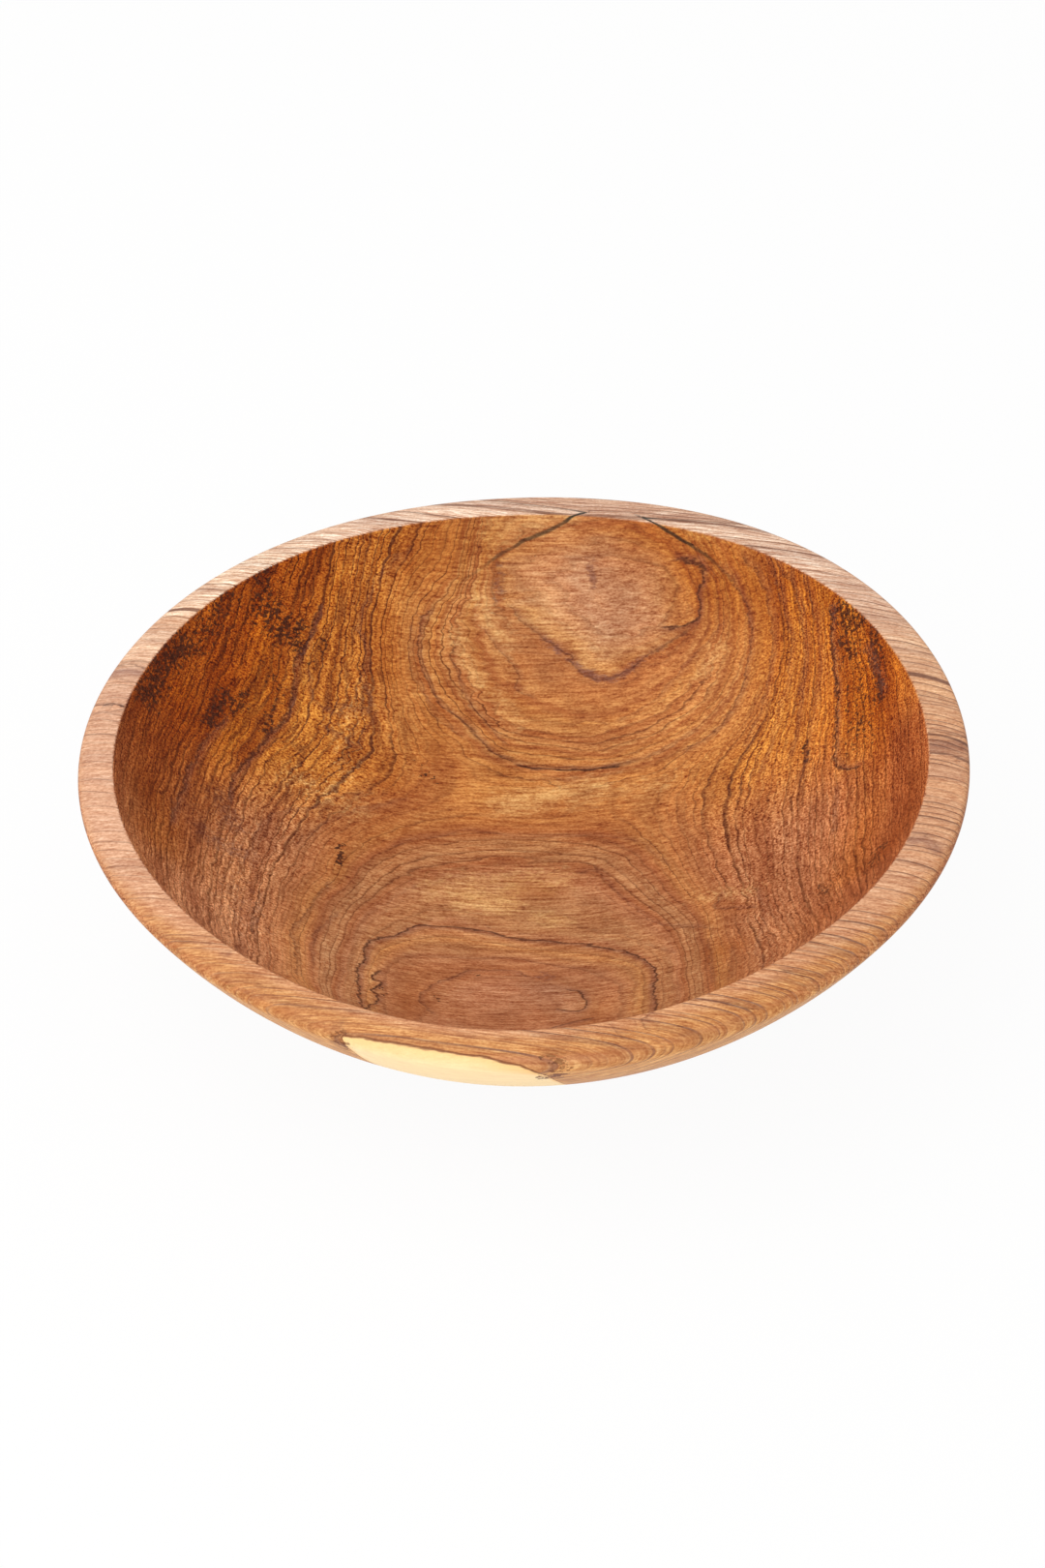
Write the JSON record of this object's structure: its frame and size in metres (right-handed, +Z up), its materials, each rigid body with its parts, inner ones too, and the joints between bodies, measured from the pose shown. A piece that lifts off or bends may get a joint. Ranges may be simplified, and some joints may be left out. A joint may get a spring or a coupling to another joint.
{
  "type": "wooden serving bowl",
  "caption": "Hand-carved round wooden serving bowl with a broad flat lip, a smooth hollow and a flat foot.",
  "frame": {"origin": "middle of the flat foot, on the surface that the bowl stands on", "axes": "+Z up out of the hollow, +X along the grain of the wood, which is the bowl's slightly longer way, +Y across the grain"},
  "size_m": [0.305, 0.296, 0.0844],
  "materials": {
    "figured_wood": "oiled satin"
  },
  "bodies": {
    "root": {"bowl": "figured_wood"}
  },
  "joints": []
}
